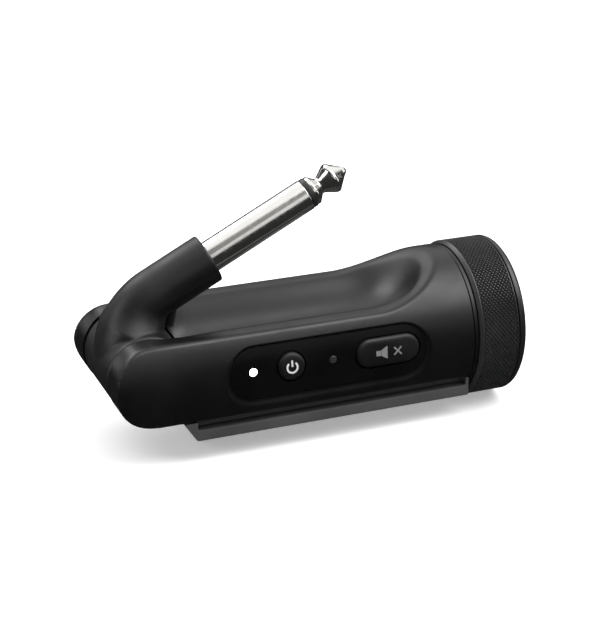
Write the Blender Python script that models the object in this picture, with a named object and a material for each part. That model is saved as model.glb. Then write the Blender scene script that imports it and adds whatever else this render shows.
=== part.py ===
"""Wireless guitar transmitter with a folding jack plug, built as separate pieces.

Sizes are in millimetres and are turned into metres when each mesh is made. The frame has its
origin in the middle of the docking rail's flat foot, +X towards the knurled grip, +Z up, and the
control side faces -Y. The plug's hinge runs along Y.
"""

import math

import bmesh
import bpy
from mathutils import Matrix, Vector

MM = 0.001
ROUND = 48
ROUND_FINE = 72
ROUND_SMALL = 24
SHARP_ANGLE = math.radians(35)
BEVEL_ANGLE = math.radians(40)
BEVEL_SEGMENTS = 2
GAP = 0.2
PAST = 1.0

# Finishes, as colour, roughness and metallic value
HOUSING_FINISH = ((0.02, 0.02, 0.022), 0.45, 0.0)
PANEL_FINISH = ((0.015, 0.015, 0.016), 0.3, 0.0)
BUTTON_FINISH = ((0.02, 0.02, 0.02), 0.55, 0.0)
CLEAR_FINISH = ((0.85, 0.87, 0.9), 0.15, 0.0)
ARM_FINISH = ((0.018, 0.018, 0.019), 0.6, 0.0)
NICKEL_FINISH = ((0.75, 0.74, 0.72), 0.18, 1.0)
INSULATOR_FINISH = ((0.02, 0.02, 0.02), 0.4, 0.0)
STEEL_FINISH = ((0.55, 0.55, 0.56), 0.35, 1.0)
NYLON_FINISH = ((0.7, 0.7, 0.68), 0.5, 0.0)
RAIL_FINISH = ((0.03, 0.03, 0.032), 0.4, 0.0)
GRIP_FINISH = ((0.025, 0.025, 0.027), 0.5, 0.0)
FOAM_FINISH = ((0.12, 0.12, 0.13), 0.95, 0.0)
CELL_FINISH = ((0.1, 0.2, 0.4), 0.4, 0.0)
BOARD_FINISH = ((0.02, 0.12, 0.06), 0.5, 0.0)
TIN_FINISH = ((0.6, 0.6, 0.6), 0.3, 1.0)
SWITCH_FINISH = ((0.05, 0.05, 0.05), 0.5, 0.0)
LED_FINISH = ((0.9, 0.9, 0.85), 0.3, 0.0)

# Housing: a tube along X, cut flat above and below
TUBE_RADIUS = 15.7
TUBE_Z = 16.3
HOUSING_TOP = 25.3
HOUSING_BOTTOM = 9.0
RISE_START = 8.0
RISE_END = 24.2
RISE_POWER = 1.9
RISE_STEPS = 18
HOUSING_RIGHT = 27.6
RIDGE_BLEND = 0.9
NEARLY_LEVEL = 0.02
RING_POINTS = 90
SKIN_ROUNDS = 6
LONGEST_RAY = 4 * TUBE_RADIUS

# Trough for the folded plug
TROUGH_DEPTH = 3.5
TROUGH_HALF_WIDTH = 9.8
TROUGH_ROUNDNESS = 2.4
TROUGH_SOFTNESS = 1.5
TROUGH_END_CENTRE = 12.5
TROUGH_END_RADIUS = 9.6
TROUGH_LIP = -25.5
TROUGH_LIP_LENGTH = 4.5
TROUGH_LIP_DROP = 1.3
LIP_STEPS = 4

# Hinge
PIVOT_X = -38.0
PIVOT_Z = 17.4
CHEEK_RADIUS = 8.3
CHEEK_LENGTH = 14.0
CHEEK_STEPS = 28
FORK_HALF_WIDTH = 8.8
FORK_RADIUS = 8.9
FORK_REACH = 18.0
FORK_STEPS = 14
ARM_CLEARANCE = 0.2
HUB_RADIUS = 8.2
HUB_HALF_LENGTH = 8.5
HUB_EDGE = 0.5
PIN_RADIUS = 1.5
PIN_CLEARANCE = 0.07
PIN_HALF_LENGTH = 11.4
WASHER_RADIUS = 5.5
WASHER_THICKNESS = 0.16
WASHER_GAP = 0.07

# Arm: points are (x, z) distances from the pivot
PLUG_ANGLE = math.radians(27.0)
FOLD_ANGLE = math.radians(27.0)
ELBOW = (2.9, 13.0)
ELBOW_RADIUS = 7.0
ARM_RADIUS = 5.0
ARM_BASE_HALF_WIDTH = 8.1
ARM_STRAIGHT = 14.0
COLUMN_FRONT = 4.0
COLUMN_STEPS = 8
BEND_STEPS = 6
ARM_SIDES = 36
ARM_BACK_RADIUS = 17.7
ARM_BACK_CENTRE = (9.8, 2.27)
FLARE_START = 6.5
FLARE_LENGTH = 6.0
FLARE_POWER = 2.2

# Plug: a 6.35 mm jack, measured along it from the arm's shoulder
PLUG_RADIUS = 3.175
PLUG_SEAT = 6.0
PLUG_FIT = 0.08
SLEEVE_LENGTH = 22.75
SLEEVE_INNER = 2.2
SLEEVE_EDGE = 0.12
INSULATOR_START = 22.8
INSULATOR_END = 23.7
TUBE_INNER = 1.4
ROD_RADIUS = 1.3
TIP_PROFILE = (
    (23.75, 2.95), (24.45, 2.95), (25.7, 1.67), (26.0, 1.67), (28.2, 3.0),
    (28.7, 3.12), (29.1, 3.0), (31.4, 0.9), (31.9, 0.55), (32.15, 0.0),
)

# Docking rail: a foot that widens up to the housing's lower edge, with a groove along each side
RAIL_HALF_WIDTH = 13.8
WEB_HALF_WIDTH = 11.5
FOOT_HALF_WIDTH = 4.2
RAIL_SIDE_LOW = 4.9
GROOVE_LOW = 7.1
RAIL_LEFT_TOP = -32.9
RAIL_LEFT_FOOT = -27.1
RAIL_RIGHT = 27.6
GROOVE_LEFT = -30.1
GROOVE_RIGHT = 26.9
RAIL_EDGE = 0.25

# Rail screws
SCREW_PLACES = (("rail_screw_front", -21.0), ("rail_screw_rear", 24.5))
SCREW_RADIUS = 0.85
SCREW_LENGTH = 5.0
SCREW_HEAD_RADIUS = 1.9
SCREW_HEAD_EDGE = 0.7
SCREW_HEAD_HEIGHT = 1.3
SCREW_HOLE_RADIUS = 1.1
THREAD_RADIUS = 0.95
THREAD_DEPTH = 5.9

# Grip
NECK_LEFT = 27.9
NECK_RIGHT = 28.7
NECK_EDGE = 0.15
WIRE_HOLE_RADIUS = 9.0
GRIP_RADIUS = 16.2
GRIP_LEFT = 28.9
GRIP_RIGHT = 37.4
GRIP_INNER = 14.2
GRIP_EDGE = 0.35
CAP_LEFT = 37.6
CAP_RIGHT = 39.4
CAP_SPIGOT_LENGTH = 2.2
CAP_SPIGOT_WALL = 1.7
CAP_SPIGOT_FIT = 0.3
CAP_THICKNESS = 1.6
CAP_EDGE = 1.0
CAP_EDGE_STEPS = 4
ANTENNA_LEFT = 32.0
ANTENNA_RIGHT = 32.8
ANTENNA_INNER = 3.0
ANTENNA_OUTER = 13.7

# Controls, as (x, z) places on the side that faces -Y
PANEL_CENTRE = (-3.35, 17.3)
PANEL_HALF = (20.7, 5.3)
PANEL_SINK = 0.6
PANEL_THICKNESS = 1.1
PANEL_GAP = 0.15
PANEL_ROWS = 14
PANEL_COLUMNS = 8
LEDGE = 0.8
WINDOW_BACK = -11.8
CONTROL_Z = 18.0
STATUS_X = -19.2
POWER_X = -11.4
MUTE_LIGHT_X = -2.7
MUTE_X = 8.9
POWER_HALF = (2.85, 2.85)
MUTE_HALF = (6.8, 2.95)
BUTTON_GAP = 0.25
BUTTON_SINK = 0.05
FLANGE_GROW = 0.3
FLANGE_FRONT = -12.95
FLANGE_BACK = -12.45
STEM_RADIUS = 1.5
STEM_BACK = -12.1
JOIN = 0.05
LIGHT_RADIUS = 0.8
LIGHT_GAP = 0.06
LIGHT_BACK = -11.2

# Inside, with boxes as their low and high corners
CAVITY = ((-23.5, -12.5, 10.7), (28.6, 12.5, 20.0))
BATTERY_PAD = ((-18.0, -8.2, 10.95), (20.0, 10.5, 11.7))
BATTERY = ((-18.2, -8.2, 12.0), (20.2, 10.5, 16.4))
BATTERY_EDGE = 0.8
MAIN_BOARD = ((-18.5, -8.5, 16.8), (26.0, 11.6, 17.6))
RADIO_SHIELD = ((4.0, -6.0, 17.85), (18.0, 6.0, 19.4))
SHIELD_EDGE = 0.2
CONTROL_BOARD = ((-22.4, -10.0, 11.2), (17.0, -9.2, 19.7))
MOUNT_Y = -10.2
SWITCH_FRONT = -11.1
SWITCH_HALF = 1.6
SWITCH_STEM_RADIUS = 0.8
SWITCH_STEM_FRONT = -11.6
LED_FRONT = -10.9
LED_HALF = (0.8, 0.5)


def clear_file():
    """Remove every object, mesh and material of the start-up file."""
    for item in list(bpy.data.objects):
        bpy.data.objects.remove(item, do_unlink=True)
    for mesh in list(bpy.data.meshes):
        bpy.data.meshes.remove(mesh)
    for material in list(bpy.data.materials):
        bpy.data.materials.remove(material)


def paint(name, colour, roughness, metallic):
    """Return a Principled material."""
    material = bpy.data.materials.new(name)
    material.use_nodes = True
    shader = material.node_tree.nodes["Principled BSDF"]
    shader.inputs["Base Color"].default_value = (*colour, 1.0)
    shader.inputs["Roughness"].default_value = roughness
    shader.inputs["Metallic"].default_value = metallic
    return material


def solid(name, points, faces, finish=None):
    """Make an object from points and faces, with its own material if it has a finish."""
    mesh = bpy.data.meshes.new(name)
    mesh.from_pydata([Vector(point) * MM for point in points], [], faces)
    form = bmesh.new()
    form.from_mesh(mesh)
    bmesh.ops.remove_doubles(form, verts=form.verts, dist=1e-7)
    bmesh.ops.recalc_face_normals(form, faces=form.faces)
    form.to_mesh(mesh)
    form.free()
    mesh.shade_smooth()
    mesh.set_sharp_from_angle(angle=SHARP_ANGLE)
    item = bpy.data.objects.new(name, mesh)
    bpy.context.scene.collection.objects.link(item)
    if finish is not None:
        mesh.materials.append(paint(f"{name}_finish", *finish))
    return item


def loft(name, rings, finish=None):
    """Join rings of equal length, and close both ends."""
    count = len(rings[0])
    points = [point for ring in rings for point in ring]
    faces = [tuple(range(count))]
    for row in range(len(rings) - 1):
        low = row * count
        for i in range(count):
            j = (i + 1) % count
            faces.append((low + i, low + j, low + count + j, low + count + i))
    last = (len(rings) - 1) * count
    faces.append(tuple(range(last, last + count)))
    return solid(name, points, faces, finish)


def extrude_x(name, outline, low, high, finish=None):
    """Extrude an outline of (y, z) points along X."""
    return loft(name, [[(x, y, z) for y, z in outline] for x in (low, high)], finish)


def extrude_y(name, outline, low, high, finish=None):
    """Extrude an outline of (x, z) points along Y."""
    return loft(name, [[(x, y, z) for x, z in outline] for y in (low, high)], finish)


def turn(name, profile, origin, axis, finish=None, count=ROUND):
    """Turn a closed profile of (distance along, radius) points round an axis."""
    axis = Vector(axis).normalized()
    side = Vector((0, 1, 0)) if abs(axis.y) < 0.5 else Vector((0, 0, 1))
    other = axis.cross(side)
    points = []
    for along, radius in profile:
        for i in range(count):
            angle = 2 * math.pi * i / count
            arm = side * math.cos(angle) + other * math.sin(angle)
            points.append(Vector(origin) + axis * along + arm * radius)
    faces = []
    for row in range(len(profile)):
        below = (row + 1) % len(profile)
        if profile[row][1] == 0 and profile[below][1] == 0:
            continue
        for i in range(count):
            j = (i + 1) % count
            faces.append((row * count + i, row * count + j, below * count + j, below * count + i))
    return solid(name, points, faces, finish)


def box(name, corners, finish=None, edge=0.0):
    """Make a box from its low and high corners, with its edges bevelled if asked."""
    low, high = corners
    outline = [(low[0], low[2]), (high[0], low[2]), (high[0], high[2]), (low[0], high[2])]
    item = extrude_y(name, outline, low[1], high[1], finish)
    if edge:
        soften(item, edge)
    return item


def soften(item, width):
    """Bevel the sharp edges of an object."""
    modifier = item.modifiers.new("edges", "BEVEL")
    modifier.width = width * MM
    modifier.segments = BEVEL_SEGMENTS
    modifier.limit_method = "ANGLE"
    modifier.angle_limit = BEVEL_ANGLE


def combine(item, tool, operation):
    """Boolean a hidden tool into an object."""
    modifier = item.modifiers.new(tool.name, "BOOLEAN")
    modifier.operation = operation
    modifier.solver = "EXACT"
    modifier.object = tool
    tool.hide_render = True
    tool.display_type = "WIRE"


def cut(item, *tools):
    """Take hidden tools out of an object."""
    for tool in tools:
        combine(item, tool, "DIFFERENCE")


def carry(name, place, *items):
    """Parent items to an empty on their joint's axis, and leave them where they are."""
    empty = bpy.data.objects.new(name, None)
    bpy.context.scene.collection.objects.link(empty)
    empty.location = Vector(place) * MM
    for item in items:
        item.parent = empty
        item.matrix_parent_inverse = Matrix.Translation(empty.location).inverted()


def arc(centre, radius, start, end, count):
    """Return points along an arc, from one angle in degrees to another."""
    angles = [math.radians(start + (end - start) * i / count) for i in range(count + 1)]
    return [(centre[0] + radius * math.cos(a), centre[1] + radius * math.sin(a)) for a in angles]


def stadium(centre, half, grow=0.0):
    """Return the outline of a slot with round ends, or of a circle, as (x, z) points."""
    radius = half[1] + grow
    reach = half[0] - half[1]
    right = arc((centre[0] + reach, centre[1]), radius, -90, 90, ROUND // 3)
    left = arc((centre[0] - reach, centre[1]), radius, 90, 270, ROUND // 3)
    return right + left if reach else right[:-1] + left[:-1]


def circle(centre, radius):
    """Return the outline of a small circle, as (x, z) points."""
    return arc(centre, radius, 0, 360, ROUND_SMALL)[:-1]


def rod(low, high, radius):
    """Return the profile of a rod."""
    return [(low, 0), (low, radius), (high, radius), (high, 0)]


def ring(low, high, inner, outer, edge=0.0):
    """Return the profile of a ring, with its outer corners cut by an edge."""
    if not edge:
        return [(low, inner), (low, outer), (high, outer), (high, inner)]
    return [(low, inner), (low, outer - edge), (low + edge, outer), (high - edge, outer),
            (high, outer - edge), (high, inner)]


def land_height(x):
    """Return the height of the flat top, which curves up to the full tube."""
    share = max(0.0, (x - RISE_START) / (RISE_END - RISE_START))
    rise = TUBE_Z + TUBE_RADIUS - HOUSING_TOP
    return HOUSING_TOP + rise * share**RISE_POWER


def trough_depth(x, y):
    """Return how far the trough sinks below the flat top."""
    past = max(0.0, x - TROUGH_END_CENTRE) / TROUGH_END_RADIUS
    distance = math.hypot(y / TROUGH_HALF_WIDTH, past)
    if distance >= 1.0:
        return 0.0
    lip_share = min(1.0, max(0.0, TROUGH_LIP - x) / TROUGH_LIP_LENGTH)
    depth = TROUGH_DEPTH + TROUGH_LIP_DROP * lip_share**2
    return depth * (1 - distance**TROUGH_ROUNDNESS) ** TROUGH_SOFTNESS


def smooth_min(a, b, blend):
    """Return the smaller of two lengths, rounded where they are close."""
    overlap = max(blend - abs(a - b), 0.0)
    return min(a, b) - overlap * overlap / (4 * blend)


def skin_distance(x, across, up):
    """Return how far the housing's skin lies from the tube's axis along a ray in a section."""
    length = TUBE_RADIUS
    if up > NEARLY_LEVEL:
        reach = (land_height(x) - TUBE_Z) / up
        for _ in range(SKIN_ROUNDS):
            y = min(reach, LONGEST_RAY) * across
            reach = (land_height(x) - trough_depth(x, y) - TUBE_Z) / up
        length = smooth_min(length, reach, RIDGE_BLEND)
    if up < -NEARLY_LEVEL:
        length = smooth_min(length, (TUBE_Z - HOUSING_BOTTOM) / -up, RIDGE_BLEND)
    return length


def housing_ring(x):
    """Return the housing's outline at one place along X."""
    outline = []
    for i in range(RING_POINTS):
        angle = 2 * math.pi * (i + 0.5) / RING_POINTS
        across = math.sin(angle)
        up = math.cos(angle)
        reach = skin_distance(x, across, up)
        outline.append((x, reach * across, TUBE_Z + reach * up))
    return outline


def housing_stops():
    """Return the places along X where the housing's outline changes."""
    lip = [TROUGH_LIP - TROUGH_LIP_LENGTH * i / LIP_STEPS for i in range(LIP_STEPS, -1, -1)]
    rise = [RISE_START + (RISE_END - RISE_START) * i / RISE_STEPS for i in range(RISE_STEPS + 1)]
    return [PIVOT_X - CHEEK_RADIUS - PAST, *lip, *rise, HOUSING_RIGHT]


def cheek_outline():
    """Return the housing's outline from the side, with a round left end about the pivot."""
    far = HOUSING_RIGHT + PAST
    high = TUBE_Z + TUBE_RADIUS + PAST
    step = PIVOT_X + CHEEK_LENGTH
    end = arc((PIVOT_X, PIVOT_Z), CHEEK_RADIUS, 90, 270, CHEEK_STEPS)
    return [(far, high), (step, high), (step, PIVOT_Z + CHEEK_RADIUS), *end,
            (far, PIVOT_Z - CHEEK_RADIUS)]


def fork_outline():
    """Return the outline that the hub and the arm sweep between the cheeks."""
    folded = math.atan2(ELBOW[1], ELBOW[0]) - FOLD_ANGLE
    lean = Vector((math.cos(folded), math.sin(folded)))
    offset = COLUMN_FRONT + ARM_CLEARANCE
    side = Vector((lean.y, -lean.x)) * offset
    meet = side + lean * math.sqrt(FORK_RADIUS**2 - offset**2)
    end = Vector((PIVOT_X, PIVOT_Z)) + side + lean * FORK_REACH
    left = PIVOT_X - 2 * CHEEK_RADIUS
    below = PIVOT_Z - 2 * CHEEK_RADIUS
    stop = math.degrees(math.atan2(meet.y, meet.x))
    lower = arc((PIVOT_X, PIVOT_Z), FORK_RADIUS, -90, stop, FORK_STEPS)
    return [(left, below), (PIVOT_X, below), *lower, tuple(end), (left, end.y)]


def make_housing():
    """Make the hollow housing with its fork, trough, panel recess and screw holes."""
    item = loft("body_shell", [housing_ring(x) for x in housing_stops()], HOUSING_FINISH)
    reach = TUBE_RADIUS + PAST
    combine(item, extrude_y("cut_cheeks", cheek_outline(), -reach, reach), "INTERSECT")
    fork = extrude_y("cut_fork", fork_outline(), -FORK_HALF_WIDTH, FORK_HALF_WIDTH)
    cavity = box("cut_cavity", CAVITY)
    half = PIN_HALF_LENGTH + PIN_CLEARANCE
    bore = turn("cut_pin_bore", rod(-half, half, PIN_RADIUS + PIN_CLEARANCE),
                (PIVOT_X, 0, PIVOT_Z), (0, 1, 0))
    floor = TUBE_RADIUS - PANEL_SINK - PANEL_THICKNESS - PANEL_GAP
    recess = panel_patch("cut_recess", PANEL_GAP, TUBE_RADIUS + PAST, floor)
    outline = stadium(PANEL_CENTRE, PANEL_HALF, -LEDGE)
    window = extrude_y("cut_window", outline, -TUBE_RADIUS - PAST, WINDOW_BACK)
    cut(item, fork, cavity, bore, recess, window)
    low = HOUSING_BOTTOM - PAST
    high = CAVITY[0][2] + PAST
    for name, x in SCREW_PLACES:
        cut(item, turn(f"cut_{name}_hole", rod(low, high, SCREW_HOLE_RADIUS), (x, 0, 0), (0, 0, 1),
                       count=ROUND_SMALL))


def panel_patch(name, grow, outer, inner, finish=None):
    """Make a slot-shaped patch between two radii of the tube."""
    radius = PANEL_HALF[1] + grow
    reach = PANEL_HALF[0] - PANEL_HALF[1]
    rings = []
    for row in range(PANEL_ROWS + 1):
        angle = math.pi * (row / PANEL_ROWS - 0.5)
        z = PANEL_CENTRE[1] + radius * math.sin(angle)
        half = reach + radius * math.cos(angle)
        shares = [2 * i / PANEL_COLUMNS - 1 for i in range(PANEL_COLUMNS + 1)]
        xs = [PANEL_CENTRE[0] + half * share for share in shares]
        front = [(x, -math.sqrt(outer**2 - (z - TUBE_Z) ** 2), z) for x in xs]
        back = [(x, -math.sqrt(inner**2 - (z - TUBE_Z) ** 2), z) for x in reversed(xs)]
        rings.append(front + back)
    return loft(name, rings, finish)


def make_panel():
    """Make the control panel with holes for the buttons and the lights."""
    outer = TUBE_RADIUS - PANEL_SINK
    item = panel_patch("control_panel", 0.0, outer, outer - PANEL_THICKNESS, PANEL_FINISH)
    outlines = {
        "power": stadium((POWER_X, CONTROL_Z), POWER_HALF, BUTTON_GAP),
        "mute": stadium((MUTE_X, CONTROL_Z), MUTE_HALF, BUTTON_GAP),
        "status_light": circle((STATUS_X, CONTROL_Z), LIGHT_RADIUS + LIGHT_GAP),
        "mute_light": circle((MUTE_LIGHT_X, CONTROL_Z), LIGHT_RADIUS + LIGHT_GAP),
    }
    for name, outline in outlines.items():
        cut(item, extrude_y(f"cut_{name}_hole", outline, -TUBE_RADIUS - PAST, FLANGE_BACK))


def make_button(name, x, half):
    """Make a button with a domed face, a flange behind the panel and a stem."""
    centre = (x, CONTROL_Z)
    front = -TUBE_RADIUS - PAST
    item = extrude_y(name, stadium(centre, half), front, FLANGE_FRONT + JOIN, BUTTON_FINISH)
    reach = half[0] + PAST
    dome = turn(f"cut_{name}_dome", rod(-reach, reach, TUBE_RADIUS - BUTTON_SINK), (x, 0, TUBE_Z),
                (1, 0, 0), count=2 * ROUND)
    combine(item, dome, "INTERSECT")
    outline = stadium(centre, half, FLANGE_GROW)
    combine(item, extrude_y(f"add_{name}_flange", outline, FLANGE_FRONT, FLANGE_BACK), "UNION")
    stem = stadium(centre, (STEM_RADIUS, STEM_RADIUS))
    combine(item, extrude_y(f"add_{name}_stem", stem, FLANGE_BACK - JOIN, STEM_BACK), "UNION")
    carry(f"{name}_slide", (x, 0, CONTROL_Z), item)


def make_light_pipe(name, x):
    """Make the clear rod that brings a lamp's light out to the panel."""
    face = -math.sqrt((TUBE_RADIUS - PANEL_SINK) ** 2 - (CONTROL_Z - TUBE_Z) ** 2)
    extrude_y(name, circle((x, CONTROL_Z), LIGHT_RADIUS), face + JOIN, LIGHT_BACK, CLEAR_FINISH)


def heading_side(heading):
    """Return the direction to the left of a heading."""
    return Vector((-math.sin(heading), math.cos(heading)))


def arm_sections():
    """Return the arm's sections from hub to shoulder, as (front edge, back edge, half width)."""
    up = math.atan2(ELBOW[1], ELBOW[0])
    angle = up - PLUG_ANGLE
    lean = Vector((math.cos(up), math.sin(up)))
    front = -heading_side(up)
    straight = Vector(ELBOW).length - ELBOW_RADIUS * math.tan(angle / 2)
    bend_centre = lean * straight + front * ELBOW_RADIUS
    total = COLUMN_STEPS + BEND_STEPS
    sections = []
    for i in range(total + 1):
        back_heading = math.pi / 2 + (PLUG_ANGLE - math.pi / 2) * i / total
        back = Vector(ARM_BACK_CENTRE) + heading_side(back_heading) * ARM_BACK_RADIUS
        if i <= COLUMN_STEPS:
            along = (straight + PAST) * i / COLUMN_STEPS - PAST
            edge = lean * along + front * COLUMN_FRONT
        else:
            share = (i - COLUMN_STEPS) / BEND_STEPS
            along = straight + ELBOW_RADIUS * angle * share
            depth = COLUMN_FRONT + (ARM_RADIUS - COLUMN_FRONT) * share
            edge = bend_centre + heading_side(up - angle * share) * (ELBOW_RADIUS - depth)
        flare = min(1.0, max(0.0, 1 - (along - FLARE_START) / FLARE_LENGTH)) ** FLARE_POWER
        sections.append((edge, back, ARM_RADIUS + (ARM_BASE_HALF_WIDTH - ARM_RADIUS) * flare))
    heading = Vector((math.cos(PLUG_ANGLE), math.sin(PLUG_ANGLE)))
    shoulder = Vector(ELBOW) + heading * ARM_STRAIGHT
    side = heading_side(PLUG_ANGLE) * ARM_RADIUS
    sections.append((shoulder - side, shoulder + side, ARM_RADIUS))
    return sections


def arm_rings():
    """Return the arm's outlines, one for each section."""
    rings = []
    for front, back, half_width in arm_sections():
        middle = (front + back) / 2
        reach = (back - front) / 2
        outline = []
        for i in range(ARM_SIDES):
            angle = 2 * math.pi * i / ARM_SIDES
            place = middle + reach * math.cos(angle)
            outline.append((PIVOT_X + place.x, half_width * math.sin(angle), PIVOT_Z + place.y))
        rings.append(outline)
    return rings


def plug_frame():
    """Return the plug's shoulder and its direction."""
    heading = Vector((math.cos(PLUG_ANGLE), 0, math.sin(PLUG_ANGLE)))
    elbow = Vector((PIVOT_X + ELBOW[0], 0, PIVOT_Z + ELBOW[1]))
    return elbow + heading * ARM_STRAIGHT, heading


def make_arm():
    """Make the hub, the bent arm and its socket for the plug as one piece."""
    item = loft("plug_arm", arm_rings(), ARM_FINISH)
    pivot = (PIVOT_X, 0, PIVOT_Z)
    half = HUB_HALF_LENGTH
    hub = turn("add_hub", ring(-half, half, 0, HUB_RADIUS, HUB_EDGE), pivot, (0, 1, 0))
    bore = turn("cut_hub_bore", rod(-half - PAST, half + PAST, PIN_RADIUS + PIN_CLEARANCE),
                pivot, (0, 1, 0))
    shoulder, heading = plug_frame()
    seat = turn("cut_plug_seat", rod(-PLUG_SEAT - GAP, 2 * PAST, PLUG_RADIUS + PLUG_FIT),
                shoulder, heading)
    combine(item, hub, "UNION")
    cut(item, bore, seat)
    return item


def make_plug():
    """Make the jack plug's sleeve, inner tube, insulating ring and tip, and return them."""
    place = plug_frame()
    sleeve = ring(-PLUG_SEAT, SLEEVE_LENGTH, SLEEVE_INNER, PLUG_RADIUS, SLEEVE_EDGE)
    inner_tube = ring(-PLUG_SEAT, SLEEVE_LENGTH, TUBE_INNER, SLEEVE_INNER - PLUG_FIT)
    insulator = ring(INSULATOR_START, INSULATOR_END, TUBE_INNER, PLUG_RADIUS, SLEEVE_EDGE)
    tip = [(-PLUG_SEAT, 0), (-PLUG_SEAT, ROD_RADIUS), (TIP_PROFILE[0][0], ROD_RADIUS), *TIP_PROFILE]
    return [
        turn("plug_sleeve", sleeve, *place, NICKEL_FINISH),
        turn("plug_inner_tube", inner_tube, *place, INSULATOR_FINISH),
        turn("plug_insulator", insulator, *place, INSULATOR_FINISH),
        turn("plug_tip", tip, *place, NICKEL_FINISH),
    ]


def make_hinge():
    """Make the hinge pin and the two friction washers."""
    pivot = (PIVOT_X, 0, PIVOT_Z)
    pin = rod(-PIN_HALF_LENGTH, PIN_HALF_LENGTH, PIN_RADIUS)
    turn("hinge_pin", pin, pivot, (0, 1, 0), STEEL_FINISH)
    low = HUB_HALF_LENGTH + WASHER_GAP
    washer = ring(low, low + WASHER_THICKNESS, PIN_RADIUS + WASHER_GAP, WASHER_RADIUS)
    turn("friction_washer_near", washer, pivot, (0, -1, 0), NYLON_FINISH)
    turn("friction_washer_far", washer, pivot, (0, 1, 0), NYLON_FINISH)


def make_rail():
    """Make the docking rail with its flat foot, slanted nose and side grooves."""
    top = HOUSING_BOTTOM - GAP
    section = [(-FOOT_HALF_WIDTH, 0), (FOOT_HALF_WIDTH, 0), (RAIL_HALF_WIDTH, RAIL_SIDE_LOW),
               (RAIL_HALF_WIDTH, top), (-RAIL_HALF_WIDTH, top), (-RAIL_HALF_WIDTH, RAIL_SIDE_LOW)]
    item = extrude_x("dock_rail", section, RAIL_LEFT_TOP - PAST, RAIL_RIGHT, RAIL_FINISH)
    left = RAIL_LEFT_TOP - 2 * PAST
    lean = (RAIL_LEFT_FOOT - RAIL_LEFT_TOP) / top * PAST
    nose = [(left, -PAST), (RAIL_LEFT_FOOT + lean, -PAST), (RAIL_LEFT_TOP - lean, top + PAST),
            (left, top + PAST)]
    reach = RAIL_HALF_WIDTH + PAST
    cut(item, extrude_y("cut_nose", nose, -reach, reach))
    for name, low, high in (("near", -reach, -WEB_HALF_WIDTH), ("far", WEB_HALF_WIDTH, reach)):
        corners = ((GROOVE_LEFT, low, GROOVE_LOW), (GROOVE_RIGHT, high, top + PAST))
        cut(item, box(f"cut_groove_{name}", corners))
    for name, x in SCREW_PLACES:
        profile = rod(top - THREAD_DEPTH, top + PAST, THREAD_RADIUS)
        cut(item, turn(f"cut_{name}_thread", profile, (x, 0, 0), (0, 0, 1), count=ROUND_SMALL))
    soften(item, RAIL_EDGE)


def make_screws():
    """Make the screws that hold the rail from inside the housing."""
    profile = [(-SCREW_LENGTH, 0), (-SCREW_LENGTH, SCREW_RADIUS), (0, SCREW_RADIUS),
               (0, SCREW_HEAD_RADIUS), (SCREW_HEAD_HEIGHT - SCREW_HEAD_EDGE, SCREW_HEAD_RADIUS),
               (SCREW_HEAD_HEIGHT, SCREW_HEAD_RADIUS - SCREW_HEAD_EDGE), (SCREW_HEAD_HEIGHT, 0)]
    seat = CAVITY[0][2] + GAP / 2
    for name, x in SCREW_PLACES:
        turn(name, profile, (x, 0, seat), (0, 0, 1), STEEL_FINISH, ROUND_SMALL)


def cap_profile():
    """Return the end cap's profile: a disc with a rounded rim, and a spigot inside the grip."""
    spigot = GRIP_INNER - CAP_SPIGOT_FIT
    inner = spigot - CAP_SPIGOT_WALL
    left = CAP_LEFT - CAP_SPIGOT_LENGTH
    rim = arc((CAP_RIGHT - CAP_EDGE, GRIP_RADIUS - CAP_EDGE), CAP_EDGE, 90, 0,
              CAP_EDGE_STEPS)
    return [(left, inner), (left, spigot), (CAP_LEFT, spigot), (CAP_LEFT, GRIP_RADIUS), *rim,
            (CAP_RIGHT, 0), (CAP_RIGHT - CAP_THICKNESS, 0), (CAP_RIGHT - CAP_THICKNESS, inner)]


def make_grip():
    """Make the neck ring, the knurled grip ring, the end cap and the antenna board in them."""
    place = ((0, 0, TUBE_Z), (1, 0, 0))
    neck = ring(NECK_LEFT, NECK_RIGHT, WIRE_HOLE_RADIUS, TUBE_RADIUS, NECK_EDGE)
    turn("neck_ring", neck, *place, HOUSING_FINISH, ROUND_FINE)
    grip = ring(GRIP_LEFT, GRIP_RIGHT, GRIP_INNER, GRIP_RADIUS, GRIP_EDGE)
    turn("grip_ring", grip, *place, GRIP_FINISH, ROUND_FINE)
    turn("end_cap", cap_profile(), *place, HOUSING_FINISH, ROUND_FINE)
    antenna = ring(ANTENNA_LEFT, ANTENNA_RIGHT, ANTENNA_INNER, ANTENNA_OUTER)
    turn("antenna_board", antenna, *place, BOARD_FINISH)


def make_switch(name, x):
    """Make a push switch with its stem."""
    low = (x - SWITCH_HALF, SWITCH_FRONT, CONTROL_Z - SWITCH_HALF)
    high = (x + SWITCH_HALF, MOUNT_Y, CONTROL_Z + SWITCH_HALF)
    item = box(name, (low, high), SWITCH_FINISH)
    outline = circle((x, CONTROL_Z), SWITCH_STEM_RADIUS)
    stem = extrude_y(f"add_{name}_stem", outline, SWITCH_FRONT + GAP, SWITCH_STEM_FRONT)
    combine(item, stem, "UNION")


def make_led(name, x):
    """Make a lamp."""
    low = (x - LED_HALF[0], LED_FRONT, CONTROL_Z - LED_HALF[1])
    high = (x + LED_HALF[0], MOUNT_Y, CONTROL_Z + LED_HALF[1])
    box(name, (low, high), LED_FINISH)


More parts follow.
